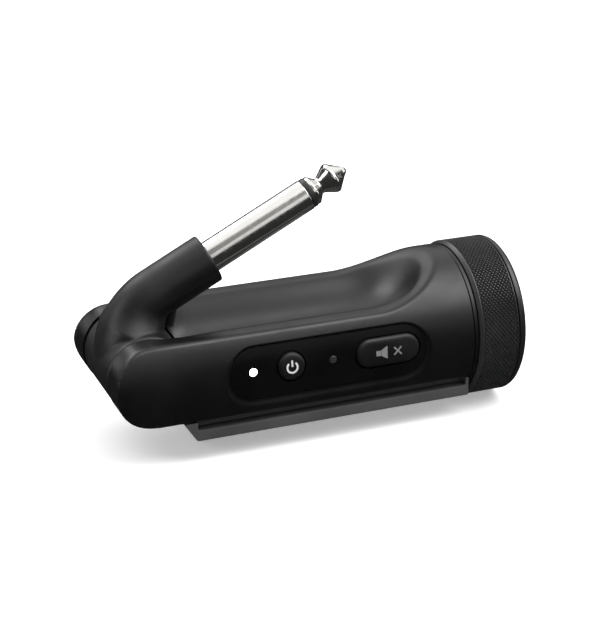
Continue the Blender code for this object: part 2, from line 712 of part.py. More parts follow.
def make_inside():
    """Make the cell, the boards and what is mounted on them."""
    box("battery_pad", BATTERY_PAD, FOAM_FINISH)
    box("battery", BATTERY, CELL_FINISH, BATTERY_EDGE)
    box("main_board", MAIN_BOARD, BOARD_FINISH)
    box("radio_shield", RADIO_SHIELD, TIN_FINISH, SHIELD_EDGE)
    box("control_board", CONTROL_BOARD, BOARD_FINISH)
    make_switch("power_switch", POWER_X)
    make_switch("mute_switch", MUTE_X)
    make_led("status_led", STATUS_X)
    make_led("mute_led", MUTE_LIGHT_X)


def main():
    """Build every piece."""
    clear_file()
    make_housing()
    make_panel()
    make_button("power_button", POWER_X, POWER_HALF)
    make_button("mute_button", MUTE_X, MUTE_HALF)
    make_light_pipe("status_light_pipe", STATUS_X)
    make_light_pipe("mute_light_pipe", MUTE_LIGHT_X)
    carry("plug_pivot", (PIVOT_X, 0, PIVOT_Z), make_arm(), *make_plug())
    make_hinge()
    make_rail()
    make_screws()
    make_grip()
    make_inside()


main()
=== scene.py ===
"""Visual model of the wireless guitar transmitter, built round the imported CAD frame.

The object's lengths are in millimetres and become metres when each mesh is made. The camera, the
floor and the lights are in metres. The frame's origin is in the middle of the docking rail's foot,
+X runs towards the grip, +Z is up, and the control side faces -Y.
"""

import math

import bmesh
import bpy
from mathutils import Matrix, Vector


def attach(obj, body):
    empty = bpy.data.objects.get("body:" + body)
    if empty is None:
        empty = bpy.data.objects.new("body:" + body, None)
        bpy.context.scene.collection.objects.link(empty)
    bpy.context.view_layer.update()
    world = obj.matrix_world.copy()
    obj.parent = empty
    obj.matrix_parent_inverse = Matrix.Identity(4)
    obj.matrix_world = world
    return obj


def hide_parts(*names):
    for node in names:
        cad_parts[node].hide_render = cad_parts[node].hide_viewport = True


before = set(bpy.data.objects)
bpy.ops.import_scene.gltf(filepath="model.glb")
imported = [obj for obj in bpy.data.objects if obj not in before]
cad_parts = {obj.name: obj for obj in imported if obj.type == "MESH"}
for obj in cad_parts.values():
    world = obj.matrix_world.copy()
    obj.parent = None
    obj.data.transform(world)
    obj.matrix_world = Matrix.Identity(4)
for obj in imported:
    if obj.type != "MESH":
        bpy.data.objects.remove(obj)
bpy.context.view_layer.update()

MM = 0.001

# Meshes: steps round a circle, corners, welds in metres, and how far a cutter passes the skin
ROUND = 128
ROUND_WIDE = 180
ROUND_SEAT = 96
ROUND_BORE = 48
ROUND_LENS = 40
SLOT_STEPS = 28
CORNER_STEPS = 4
CORNER_STEPS_FINE = 3
CORNER_SHARE = 0.45
LEAST_CORNER = 1e-4
SAME_POINT = 1e-6
WELD = 1e-7
WELD_RING = 2e-6
PAST = 2
PAST_CAVITY = 1

# Angles in degrees past which an edge stays sharp
SHARP = 38
SHARP_HOUSING = 32
SHARP_BUTTON = 60
SHARP_SOFT = 50
SHARP_METAL = 30

# Housing
TUBE_RADIUS = 15.7
TUBE_Z = 16.3
HOUSING_TOP = 25.3
HOUSING_BOTTOM = 9.0
HOUSING_RIGHT = 27.6
RISE_START = 8.0
RISE_END = 24.2
RISE_POWER = 1.9
RIDGE_BLEND = 0.9
TROUGH_DEPTH = 3.5
TROUGH_HALF_WIDTH = 9.8
TROUGH_END_CENTRE = 12.5
TROUGH_END_RADIUS = 9.6
TROUGH_LIP = -25.5
TROUGH_LIP_LENGTH = 4.5
TROUGH_LIP_DROP = 1.3
TROUGH_FADE = 6.0
TROUGH_ROUNDNESS = 2.4
TROUGH_SOFTNESS = 1.5
NEARLY_LEVEL = 1e-4
KEEL_BLEND = RIDGE_BLEND * 0.6
SKIN_POINTS = 300
SKIN_ROUNDS = 6
LONGEST_RAY = 60
AXIS_SHIFT_LENGTH = 6
NOSE_STOPS = 24
NOSE_OFFSET = 0.35
BODY_PITCH = 0.75
RISE_PITCH = 0.45
CAVITY_LEFT = -23.5
CAVITY_LOW = 10.7
CAVITY_HIGH = 20.0
CAVITY_HALF_WIDTH = 12.5

# Hinge, arm and plug
PIVOT_X = -38.0
PIVOT_Z = 17.4
CHEEK_RADIUS = 8.3
FORK_HALF_WIDTH = 8.8
FORK_RADIUS = 8.9
FORK_REACH = 18.0
FORK_STEPS = 40
FOLD_ANGLE = math.radians(27.0)
HUB_RADIUS = 8.2
HUB_HALF_LENGTH = 8.5
HUB_EDGE = 0.7
HUB_BORE_HALF_LENGTH = 9
ELBOW = (2.9, 13.0)
ELBOW_RADIUS = 7.0
ARM_RADIUS = 5.0
ARM_BASE_HALF_WIDTH = 8.1
ARM_STRAIGHT = 14.0
COLUMN_FRONT = 4.0
ARM_CLEARANCE = 0.2
ARM_BURY = 1
ARM_BACK_RADIUS = 17.7
ARM_BACK_CENTRE = (9.8, 2.27)
FLARE_START = 6.5
FLARE_LENGTH = 6.0
FLARE_POWER = 2.2
COLUMN_STEPS = 30
BEND_STEPS = 24
ARM_SIDES = 72
ARM_VOXEL = 0.22
ARM_SMOOTHING = 0.5
ARM_SMOOTH_ROUNDS = 14
PLUG_ANGLE = math.radians(27.0)
PLUG_RADIUS = 3.175
PLUG_RIM = 3.1
PLUG_SEAT = 6.0
PLUG_FIT = 0.06
SEAT_GAP = 0.2
SEAT_OPEN_LENGTH = 5
SLEEVE_LENGTH = 22.8
SLEEVE_INNER = 2.2
SLEEVE_END = SLEEVE_LENGTH - 0.05
RING_INNER = 1.4
INSULATOR_END = 23.7
TIP_PROFILE = (
    (23.75, 1.3), (23.75, 2.9), (23.85, 2.97), (24.35, 2.97), (24.5, 2.88), (25.55, 1.78),
    (25.75, 1.67), (25.95, 1.67), (26.15, 1.75), (28.1, 2.92), (28.5, 3.1), (28.8, 3.12),
    (29.1, 3.0), (31.2, 1.1), (31.7, 0.75), (32.0, 0.42), (32.12, 0),
)
SLEEVE_CORNER = 0.05
RING_CORNER = 0.03
TIP_CORNER = 0.12
PIN_RADIUS = 1.57
PIN_HALF_LENGTH = 11.5

# Controls
PANEL_CENTRE = (-3.35, 17.3)
PANEL_HALF = (20.7, 5.3)
PANEL_SINK = 0.6
PANEL_THICKNESS = 1.1
PANEL_ROWS = 48
PANEL_COLUMNS = 40
ON_TUBE = 0.9
RECESS_RIM = 1.1
RECESS_DROP = 0.45
RECESS_GAP = 0.05
RECESS_STEPS = 8
RECESS_FLARE = 0.1
RECESS_DEEP = PANEL_SINK + 0.02
RECESS_LIFT = 0.01
RECESS_BACK = -12.3
HOLE_FRONT = -17
HOLE_BACK = -12.5
CONTROL_Z = 18.0
STATUS_X = -19.2
POWER_X = -11.4
MUTE_LIGHT_X = -2.7
MUTE_X = 8.9
POWER_HALF = (2.85, 2.85)
MUTE_HALF = (6.8, 2.95)
BUTTON_GAP = 0.22
BUTTON_BASE = 12.9
BUTTON_EDGE = 0.8
BUTTON_TAPER = 1.6
BUTTON_SIDE = ((0.0, 0.0), (0.0, 0.55), (0.04, 0.78), (0.16, 0.93), (0.34, 1.0), (0.7, 1.02))
BUTTON_CROWN = (0.72, 0.45, 0.2, 0.04)
CROWN_RISE = 0.02
FACE_SINK = 0.12
LIGHT_RADIUS = 0.8
LIGHT_GAP = 0.03
LENS_BACK = 11.2
MARK_PROUD = 0.09
MARK_DEPTH = 0.15
POWER_SIGN_RADIUS = 1.05
POWER_SIGN_WIDTH = 0.36
POWER_SIGN_ARC = (130, 410)
POWER_SIGN_STEPS = 36
POWER_SIGN_BAR = (0.15, 1.4)
MUTE_SIGN_HALF = 2.7
MUTE_SIGN_HEIGHT = 2.6
MUTE_SIGN_WIDTH = 0.32
MAGNET_LENGTH = 1.0
CONE_GAP = 0.08
CONE_END = 2.4
MAGNET_SHARE = 0.4
CONE_SHARE = 0.44
CROSS_SHARE = 0.6

# Grip
GRIP_RADIUS = 16.2
GRIP_LEFT = 28.9
GRIP_RIGHT = 37.4
END_RIGHT = 39.4
NECK_LEFT = 27.9
NECK_RIGHT = 28.7
NECK_INNER = 9.0
NECK_SINK = 0.25
NECK_EDGE = 0.15
KNURL_AROUND = 100
KNURL_ROWS = 9
KNURL_DEPTH = 0.34
KNURL_TOP = 0.3
KNURL_SINK = 0.02
KNURL_LEFT = GRIP_LEFT + 0.9
KNURL_RIGHT = GRIP_RIGHT - 0.35
GRIP_INNER = GRIP_RADIUS - 2.0
BAND_RADIUS = GRIP_RADIUS - 0.03
CAP_RADIUS = GRIP_RADIUS - 0.02
CAP_FACE = END_RIGHT - 0.02
CAP_DISH = END_RIGHT - 0.35
SPIGOT_LEFT = 35.4
SPIGOT_RADIUS = 13.9
SPIGOT_INNER = 12.2
CAP_INSIDE = 37.8

# Camera, worked out from the photograph's perspective
CAMERA_AZIMUTH = math.radians(-21.57)
CAMERA_ELEVATION = math.radians(22.05)
CAMERA_ROLL = math.radians(-0.17)
CAMERA_DISTANCE = 0.360
CAMERA_TARGET = (-0.00368, 0.0, 0.02251)
CAMERA_LENS = 103.85
CAMERA_CLIP = 0.01

# World, by how nearly a direction points up and back
WORLD_UP = (0.1, 0.3, 0.95)
WORLD_DARK_FROM = 0.52
WORLD_BRIGHT_FROM = 0.74
WORLD_DARK = 0.03
WORLD_BRIGHT = 1.3

# Floor
FLOOR_HALF = 3.0
FLOOR_WHITE = 0.9
FLOOR_ROUGHNESS = 0.9
FLOOR_GLOW = 0.35

# Lights, each with its place, target, width, height and power
BODY_MIDDLE = (-0.004, 0, 0.02)
PLUG_MIDDLE = (0.0, 0.0, 0.045)
LIGHTS = {
    "key": ((0.22, -0.2, 0.45), BODY_MIDDLE, 0.4, 0.4, 2.6),
    "back_top": ((-0.2, 0.4, 0.42), BODY_MIDDLE, 0.3, 0.3, 1.0),
    "front_card": ((0.1, -0.55, 0.24), BODY_MIDDLE, 0.6, 0.24, 0.28),
    "back_left": ((-0.27, 0.44, 0.09), BODY_MIDDLE, 0.16, 0.16, 0.08),
    "left_edge": ((-0.42, 0.05, 0.14), BODY_MIDDLE, 0.14, 0.3, 0.6),
    "right_rim": ((0.42, -0.12, 0.2), BODY_MIDDLE, 0.12, 0.3, 0.35),
    "plug_card": ((-0.012, -0.062, 0.082), PLUG_MIDDLE, 0.09, 0.05, 0.004),
}

# Materials: a noise's range, the noises' sizes in 1/m, and how far gloss and tint vary
NOISE_DARK = 0.3
NOISE_BRIGHT = 0.7
CLOUD_SCALE = 120.0
GLOSS_SWEEP = 0.08
METAL_CLOUD_SCALE = 200.0
METAL_MARK_SCALE = 900.0
METAL_MARK_DEPTH = 0.000004
METAL_SMOOTHER = 0.05
METAL_ROUGHER = 0.07
LAMP_ROUGHNESS = 0.3
LAMP_MOTTLE_SCALE = 1500.0
LAMP_MOTTLE = 0.92
DETAIL = 3.0
DETAIL_FINE = 4.0

# Plastics: dark and light colour, roughness, grain in 1/m, its depth in metres, and specular level
PLASTICS = {
    "housing": ("housing_black", (0.0026, 0.0026, 0.003), (0.0036, 0.0036, 0.0041),
                0.36, 5200.0, 0.00002, 0.4),
    "cap": ("cap_black", (0.006, 0.006, 0.0064), (0.008, 0.008, 0.0085),
            0.36, 5200.0, 0.000015, 0.5),
    "rail": ("rail_black", (0.045, 0.045, 0.046), (0.055, 0.055, 0.0562),
             0.4, 5200.0, 0.00002, 0.5),
    "arm": ("arm_soft_touch", (0.003, 0.003, 0.0032), (0.0045, 0.0045, 0.0047),
            0.44, 7000.0, 0.00002, 0.45),
    "panel": ("panel_black", (0.002, 0.002, 0.0023), (0.0028, 0.0028, 0.0031),
              0.3, 5200.0, 0.00001, 0.14),
    "button": ("button_black", (0.003, 0.003, 0.0033), (0.0042, 0.0042, 0.0046),
               0.45, 7000.0, 0.00001, 0.35),
    "grip": ("grip_black", (0.014, 0.014, 0.0147), (0.02, 0.02, 0.0207),
             0.4, 4000.0, 0.00001, 0.6),
    "insulator": ("insulator_black", (0.01, 0.01, 0.01), (0.014, 0.014, 0.014),
                  0.35, 6000.0, 0.000005, 0.5),
    "nylon": ("washer_nylon", (0.5, 0.5, 0.48), (0.6, 0.6, 0.58), 0.5, 4000.0, 0.00001, 0.5),
    "foam": ("pad_foam", (0.05, 0.05, 0.05), (0.09, 0.09, 0.09), 0.9, 2500.0, 0.0001, 0.5),
    "wrap": ("battery_wrap", (0.04, 0.09, 0.2), (0.06, 0.12, 0.26), 0.35, 3000.0, 0.00001, 0.5),
    "board": ("board_green", (0.01, 0.08, 0.03), (0.02, 0.11, 0.05), 0.45, 3000.0, 0.00002, 0.5),
    "switch": ("switch_black", (0.02, 0.02, 0.02), (0.03, 0.03, 0.03), 0.5, 4000.0, 0.00001, 0.5),
    "led": ("led_body", (0.75, 0.75, 0.68), (0.85, 0.85, 0.78), 0.3, 4000.0, 0.000005, 0.5),
}

# Metals: dark and light colour, roughness, and how the marks are stretched
METALS = {
    "nickel": ("plug_nickel", (0.68, 0.67, 0.645), (0.74, 0.73, 0.705), 0.17, (1, 1, 1)),
    "steel": ("pin_steel", (0.45, 0.45, 0.46), (0.55, 0.55, 0.56), 0.3, (1, 6, 1)),
    "tin": ("shield_tin", (0.5, 0.5, 0.5), (0.6, 0.6, 0.6), 0.3, (1, 1, 1)),
}

# Lamps and signs: brightness of their face, and strength of their glow. Only the lit lens is a real
# lamp: the glow of the unlit lens and of the two printed signs is painted glow on top of their own tint
# and print colour.
LAMPS = {
    "lit": ("lens_lit", 1.0, 5.0),
    "unlit": ("lens_unlit_painted_glow", 0.02, 0.01),
    "mark_bright": ("sign_painted_glow", 0.5, 0.12),
    "mark_dim": ("sign_pale_painted_glow", 0.15, 0.05),
}


# ---------------------------------------------------------------- mesh helpers

def piece(name, points, faces, material, smooth=True):
    """Make an object from points in millimetres."""
    mesh = bpy.data.meshes.new(name)
    mesh.from_pydata([Vector(p) * MM for p in points], [], faces)
    form = bmesh.new()
    form.from_mesh(mesh)
    bmesh.ops.remove_doubles(form, verts=form.verts, dist=WELD)
    bmesh.ops.recalc_face_normals(form, faces=form.faces)
    form.to_mesh(mesh)
    form.free()
    for polygon in mesh.polygons:
        polygon.use_smooth = smooth
    if material is not None:
        mesh.materials.append(material)
    item = bpy.data.objects.new(name, mesh)
    bpy.context.scene.collection.objects.link(item)
    return item


def loft(name, rings, material=None, smooth=True):
    """Join closed rings of equal length, and close both ends."""
    count = len(rings[0])
    points = [p for ring in rings for p in ring]
    faces = [tuple(range(count))]
    for row in range(len(rings) - 1):
        low = row * count
        for i in range(count):
            j = (i + 1) % count
            faces.append((low + i, low + j, low + count + j, low + count + i))
    last = (len(rings) - 1) * count
    faces.append(tuple(range(last, last + count)))
    return piece(name, points, faces, material, smooth)


def extrude_y(name, outline, low, high):
    """Extrude an outline of (x, z) points along Y."""
    return loft(name, [[(x, y, z) for x, z in outline] for y in (low, high)], smooth=False)


def turn(name, profile, origin, axis, material, count=ROUND):
    """Turn a closed profile of (distance along, radius) points round an axis."""
    axis = Vector(axis).normalized()
    side = Vector((0, 1, 0)) if abs(axis.y) < 0.5 else Vector((0, 0, 1))
    other = axis.cross(side)
    points = []
    for along, radius in profile:
        for i in range(count):
            angle = 2 * math.pi * i / count
            arm = side * math.cos(angle) + other * math.sin(angle)
            points.append(Vector(origin) + axis * along + arm * radius)
    faces = []
    for row in range(len(profile)):
        below = (row + 1) % len(profile)
        if profile[row][1] == 0 and profile[below][1] == 0:
            continue
        for i in range(count):
            j = (i + 1) % count
            faces.append((row * count + i, row * count + j, below * count + j, below * count + i))
    return piece(name, points, faces, material)


def sharpen(item, degrees=SHARP):
    """Smooth an object's faces, and keep edges past an angle sharp."""
    item.data.set_sharp_from_angle(angle=math.radians(degrees))
    return item


def round_corners(profile, radius, steps=CORNER_STEPS):
    """Round the corners of a profile's (distance along, radius) points, where there is room."""
    result = []
    count = len(profile)
    for index, point in enumerate(profile):
        corner = Vector(point)
        before = Vector(profile[index - 1]) - corner
        after = Vector(profile[(index + 1) % count]) - corner
        reach = min(radius, before.length * CORNER_SHARE, after.length * CORNER_SHARE)
        if point[1] == 0 or reach < LEAST_CORNER:
            result.append(tuple(corner))
            continue
        start = corner + before.normalized() * reach
        end = corner + after.normalized() * reach
        for i in range(steps + 1):
            t = i / steps
            result.append(tuple(start * (1 - t) ** 2 + corner * 2 * t * (1 - t) + end * t * t))
    return result


def arc(centre, radius, start, end, count):
    """Return points along an arc, from one angle in degrees to another."""
    angles = [math.radians(start + (end - start) * i / count) for i in range(count + 1)]
    return [(centre[0] + radius * math.cos(a), centre[1] + radius * math.sin(a)) for a in angles]


def stadium(centre, half, grow=0.0):
    """Return the outline of a slot with round ends, as (x, z) points."""
    radius = half[1] + grow
    reach = half[0] - half[1]
    right = arc((centre[0] + reach, centre[1]), radius, -90, 90, SLOT_STEPS)
    left = arc((centre[0] - reach, centre[1]), radius, 90, 270, SLOT_STEPS)
    return right + left


def clean(outline):
    """Drop points of an outline that repeat the one before."""
    kept = []
    for point in outline:
        if not kept or math.dist(point, kept[-1]) > SAME_POINT:
            kept.append(point)
    if math.dist(kept[0], kept[-1]) < SAME_POINT:
        kept.pop()
    return kept


def apply_boolean(item, tool, operation="DIFFERENCE"):
    """Boolean a tool into an object for good, and remove the tool."""
    modifier = item.modifiers.new("boolean", "BOOLEAN")
    modifier.operation = operation
    modifier.solver = "EXACT"
    modifier.object = tool
    apply_modifiers(item)
    bpy.data.objects.remove(tool, do_unlink=True)


def apply_modifiers(item):
    """Put an object's modifiers into its mesh."""
    bpy.context.view_layer.update()
    graph = bpy.context.evaluated_depsgraph_get()
    mesh = bpy.data.meshes.new_from_object(item.evaluated_get(graph))
    old = item.data
    item.modifiers.clear()
    item.data = mesh
    bpy.data.meshes.remove(old)


def smooth_min(a, b, blend):
    """Return the smaller of two lengths, rounded where they are close."""
    overlap = max(blend - abs(a - b), 0.0)
    return min(a, b) - overlap * overlap / (4 * blend)


def tube_y(z, inset=0.0):
    """Return the distance of the tube's skin from the middle plane at a height."""
    return math.sqrt((TUBE_RADIUS - inset) ** 2 - (z - TUBE_Z) ** 2)


# ---------------------------------------------------------------- housing

def pivot_rod(name, half):
    """Make the cutter of a bore along the hinge's axis."""
    profile = [(-half, 0), (-half, PIN_RADIUS), (half, PIN_RADIUS), (half, 0)]
    return turn(name, profile, (PIVOT_X, 0, PIVOT_Z), (0, 1, 0), None, ROUND_BORE)


def land_height(x):
    """Return the height of the flat top, which curves up to the full tube."""
    share = max(0.0, (x - RISE_START) / (RISE_END - RISE_START))
    return HOUSING_TOP + (TUBE_Z + TUBE_RADIUS - HOUSING_TOP) * share**RISE_POWER


def trough_depth(x, y):
    """Return how far the trough sinks below the flat top."""
    past = max(0.0, x - TROUGH_END_CENTRE) / TROUGH_END_RADIUS
    distance = math.hypot(y / TROUGH_HALF_WIDTH, past)
    if distance >= 1.0:
        return 0.0
    fade = min(1.0, max(0.0, (x - PIVOT_X) / TROUGH_FADE))
    lip_share = min(1.0, max(0.0, TROUGH_LIP - x) / TROUGH_LIP_LENGTH)
    lip = TROUGH_LIP_DROP * lip_share**2
    return (TROUGH_DEPTH + lip) * fade * (1 - distance**TROUGH_ROUNDNESS) ** TROUGH_SOFTNESS


def end_bulge(x):
    """Return the half height that the round cheek ends leave at a place along X."""
    past = (PIVOT_X - x) / CHEEK_RADIUS
    if past <= 0:
        return None
    return CHEEK_RADIUS * math.sqrt(max(0.0, 1 - past * past))


def ray_length(x, across, up, centre):
    """Return how far the housing's skin lies from the section's centre along a ray."""
    offset = centre - TUBE_Z
    length = -offset * up + math.sqrt(TUBE_RADIUS**2 - (offset * across) ** 2)
    bulge = end_bulge(x)
    if up > NEARLY_LEVEL:
        top = land_height(x)
        if bulge is not None:
            top = smooth_min(top, PIVOT_Z + bulge, RIDGE_BLEND)
        reach = (top - centre) / up
        for _ in range(SKIN_ROUNDS):
            y = min(reach, LONGEST_RAY) * across
            reach = (top - trough_depth(x, y) - centre) / up
        length = smooth_min(length, reach, RIDGE_BLEND)
    if up < -NEARLY_LEVEL:
        base = HOUSING_BOTTOM if bulge is None else max(HOUSING_BOTTOM, PIVOT_Z - bulge)
        length = smooth_min(length, (centre - base) / -up, KEEL_BLEND)
    return length


def housing_ring(x):
    """Return the housing's outline at one place along X."""
    share = min(1.0, max(0.0, (PIVOT_X + AXIS_SHIFT_LENGTH - x) / AXIS_SHIFT_LENGTH))
    centre = TUBE_Z + (PIVOT_Z - TUBE_Z) * share
    ring = []
    for i in range(SKIN_POINTS):
        angle = 2 * math.pi * (i + 0.5) / SKIN_POINTS
        across = math.sin(angle)
        up = math.cos(angle)
        reach = ray_length(x, across, up, centre)
        ring.append((x, reach * across, centre + reach * up))
    return ring


def fork_outline():
    """Return the outline that the hub and the arm sweep between the cheeks."""
    folded = math.atan2(ELBOW[1], ELBOW[0]) - FOLD_ANGLE
    lean = Vector((math.cos(folded), math.sin(folded)))
    offset = COLUMN_FRONT + ARM_CLEARANCE
    side = Vector((lean.y, -lean.x)) * offset
    hub = Vector((PIVOT_X, PIVOT_Z))
    meet = side + lean * math.sqrt(FORK_RADIUS**2 - offset**2)
    end = hub + side + lean * FORK_REACH
    left = PIVOT_X - 2 * CHEEK_RADIUS
    below = PIVOT_Z - 2 * CHEEK_RADIUS
    stop = math.degrees(math.atan2(meet.y, meet.x))
    lower = arc((PIVOT_X, PIVOT_Z), FORK_RADIUS, -90, stop, FORK_STEPS)
    return [(left, below), (PIVOT_X, below), *lower, tuple(end), (left, end.y)]


def panel_patch(outer, inner, material):
    """Make the panel's slot-shaped patch between two radii of the tube."""
    radius = PANEL_HALF[1]
    reach = PANEL_HALF[0] - radius
    shares = [2 * i / PANEL_COLUMNS - 1 for i in range(PANEL_COLUMNS + 1)]
    rings = []
    for row in range(PANEL_ROWS + 1):
        angle = math.pi * (row / PANEL_ROWS - 0.5)
        z = PANEL_CENTRE[1] + radius * math.sin(angle)
        half = reach + radius * math.cos(angle)
        xs = [PANEL_CENTRE[0] + half * share for share in shares]
        front = [(x, -math.sqrt(outer**2 - (z - TUBE_Z) ** 2), z) for x in xs]
        back = [(x, -math.sqrt(inner**2 - (z - TUBE_Z) ** 2), z) for x in reversed(xs)]
        rings.append(front + back)
    return loft("panel_insert", rings, material, smooth=False)


def recess_cutter():
    """Make the cutter of the panel's recess, with a rim that rolls over softly."""
    grow = RECESS_RIM + RECESS_GAP + RECESS_FLARE
    low = (PANEL_CENTRE[0], PANEL_CENTRE[1] - RECESS_DROP)
    rings = [[(x, -TUBE_RADIUS - PAST, z) for x, z in stadium(low, PANEL_HALF, grow)]]
    for i in range(RECESS_STEPS + 1):
        share = i / RECESS_STEPS
        centre = (PANEL_CENTRE[0], PANEL_CENTRE[1] - RECESS_DROP * (1 - share))
        wide = RECESS_GAP + RECESS_RIM * (1 - share)
        deep = RECESS_DEEP * (1 - math.cos(share * math.pi)) / 2 - RECESS_LIFT
        outline = stadium(centre, PANEL_HALF, wide)
        rings.append([(x, -tube_y(z, deep), z) for x, z in outline])
    outline = stadium(PANEL_CENTRE, PANEL_HALF, RECESS_GAP)
    rings.append([(x, RECESS_BACK, z) for x, z in outline])
    return loft("recess", rings)


def spaced(start, pitch, end):
    """Return evenly spaced places from a start, all short of an end."""
    return [start + pitch * i for i in range(math.ceil((end - start) / pitch))]


def housing_stops():
    """Return the places along X where the housing's outline is taken."""
    angles = [math.radians(90 * (i + NOSE_OFFSET) / NOSE_STOPS) for i in range(NOSE_STOPS)]
    nose = [PIVOT_X - CHEEK_RADIUS * math.cos(angle) for angle in angles]
    body = spaced(PIVOT_X, BODY_PITCH, RISE_START)
    rise = spaced(RISE_START, RISE_PITCH, HOUSING_RIGHT - RISE_PITCH)
    return [*nose, *body, *rise[1:], HOUSING_RIGHT]


def make_housing(material):
    """Make the moulded housing: rounded tube, flat top with trough, fork and panel recess."""
    item = loft("housing_skin", [housing_ring(x) for x in housing_stops()], material)
    apply_boolean(item, extrude_y("fork", fork_outline(), -FORK_HALF_WIDTH, FORK_HALF_WIDTH))
    apply_boolean(item, recess_cutter())
    right = HOUSING_RIGHT + PAST_CAVITY
    cavity = [(CAVITY_LEFT, CAVITY_LOW), (right, CAVITY_LOW), (right, CAVITY_HIGH),
              (CAVITY_LEFT, CAVITY_HIGH)]
    apply_boolean(item, extrude_y("cavity", cavity, -CAVITY_HALF_WIDTH, CAVITY_HALF_WIDTH))
    apply_boolean(item, pivot_rod("pin", PIN_HALF_LENGTH))
    sharpen(item, SHARP_HOUSING)
    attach(item, "housing")
    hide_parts("body_shell")


# ---------------------------------------------------------------- controls

def button(name, centre, half, material):
    """Make a moulded button whose face follows the tube, with rounded edges."""
    rings = []
    for inset, rise in BUTTON_SIDE:
        taper = BUTTON_EDGE * inset * BUTTON_TAPER
        outline = stadium(centre, (half[0] - taper, half[1] - taper))
        rings.append([(x, -(BUTTON_BASE + (tube_y(z, FACE_SINK) - BUTTON_BASE) * rise), z)
                      for x, z in outline])
    for share in BUTTON_CROWN:
        inner = (half[1] - BUTTON_EDGE) * share
        outline = stadium(centre, (half[0] - half[1] + inner, inner))
        rings.append([(x, -(tube_y(z, FACE_SINK) + CROWN_RISE), z) for x, z in outline])
    return sharpen(loft(name, rings, material), SHARP_BUTTON)


def follow_tube(item):
    """Shade the faces that lie on the tube as one even curve."""
    mesh = item.data
    normals = []
    for polygon in mesh.polygons:
        for index in polygon.vertices:
            place = mesh.vertices[index].co / MM
            out = Vector((0, place.y, place.z - TUBE_Z)).normalized()
            on_tube = polygon.normal.dot(out) > ON_TUBE
            normals.append(out if on_tube else polygon.normal.copy())
    mesh.normals_split_custom_set(normals)


def make_panel(material):
    """Make the panel insert with holes for the buttons and the lights."""
    outer = TUBE_RADIUS - PANEL_SINK
    panel = panel_patch(outer, outer - PANEL_THICKNESS, material)
    light = (LIGHT_RADIUS, LIGHT_RADIUS)
    holes = [stadium((POWER_X, CONTROL_Z), POWER_HALF, BUTTON_GAP),
             stadium((MUTE_X, CONTROL_Z), MUTE_HALF, BUTTON_GAP),
             stadium((STATUS_X, CONTROL_Z), light, LIGHT_GAP),
             stadium((MUTE_LIGHT_X, CONTROL_Z), light, LIGHT_GAP)]
    for outline in holes:
        apply_boolean(panel, extrude_y("hole", clean(outline), HOLE_FRONT, HOLE_BACK))
    follow_tube(panel)
    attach(panel, "housing")
    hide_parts("control_panel")


def lens_profile():
    """Return the profile of a light's domed lens, as distances from the middle plane."""
    face = tube_y(CONTROL_Z, PANEL_SINK)
    return [(LENS_BACK, 0), (LENS_BACK, LIGHT_RADIUS), (face - 0.05, LIGHT_RADIUS),
            (face + 0.03, LIGHT_RADIUS - 0.12), (face + 0.1, 0.5), (face + 0.12, 0)]


def make_controls(paints):
    """Make the panel insert, the two buttons, their pictograms and the two lights."""
    make_panel(paints["panel"])
    power = (POWER_X, CONTROL_Z)
    mute = (MUTE_X, CONTROL_Z)
    for name, centre, half, body, node in (
            ("power_button_cap", power, POWER_HALF, "power_key", "power_button"),
            ("mute_button_cap", mute, MUTE_HALF, "mute_key", "mute_button")):
        cap = button(name, centre, half, paints["button"])
        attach(cap, body)
        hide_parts(node)

    # The mute lens is unlit; its faint emission is a painted glow.
    for name, x, paint_name, node in (
            ("status_lens", STATUS_X, "lit", "status_light_pipe"),
            ("mute_lens", MUTE_LIGHT_X, "unlit", "mute_light_pipe")):
        lens = turn(name, lens_profile(), (x, 0, CONTROL_Z), (0, -1, 0), paints[paint_name],
                    ROUND_LENS)
        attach(lens, "housing")
        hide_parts(node)

    # Both signs are print whose emission is a painted glow, not a light.
    power_mark(paints["mark_bright"], power)
    mute_mark(paints["mark_dim"], mute)


def mark(name, strips, body, material):
    """Make a thin inlay on a button's face from strips of (x, z) pairs."""
    points = []
    faces = []
    for strip in strips:
        start = len(points)
        for inner, outer in strip:
            for x, z in (inner, outer):
                points.append((x, -(tube_y(z, FACE_SINK) + MARK_PROUD), z))
            for x, z in (inner, outer):
                points.append((x, -(tube_y(z, FACE_SINK) - MARK_DEPTH), z))
        last = len(strip) - 1
        for i in range(last):
            a = start + 4 * i
            b = a + 4
            faces += [(a, a + 1, b + 1, b), (a + 2, b + 2, b + 3, a + 3),
                      (a, b, b + 2, a + 2), (a + 1, a + 3, b + 3, b + 1)]
        end = start + 4 * last
        faces += [(start, start + 2, start + 3, start + 1), (end, end + 1, end + 3, end + 2)]
    item = piece(name, points, faces, material, smooth=False)
    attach(item, body)


def bar(start, end, width):
    """Return one straight strip between two points."""
    along = Vector(end) - Vector(start)
    side = Vector((-along.y, along.x)).normalized() * width / 2
    return [(tuple(Vector(start) + side), tuple(Vector(start) - side)),
            (tuple(Vector(end) + side), tuple(Vector(end) - side))]


def power_mark(material, centre):
    """Make the standard power sign: a broken ring and a bar."""
    radius = POWER_SIGN_RADIUS
    width = POWER_SIGN_WIDTH
    inner = arc(centre, radius - width / 2, *POWER_SIGN_ARC, POWER_SIGN_STEPS)
    outer = arc(centre, radius + width / 2, *POWER_SIGN_ARC, POWER_SIGN_STEPS)
    low, high = [(centre[0], centre[1] + rise) for rise in POWER_SIGN_BAR]
    upright = bar(low, high, width)
    mark("power_sign", [list(zip(inner, outer)), upright], "power_key", material)


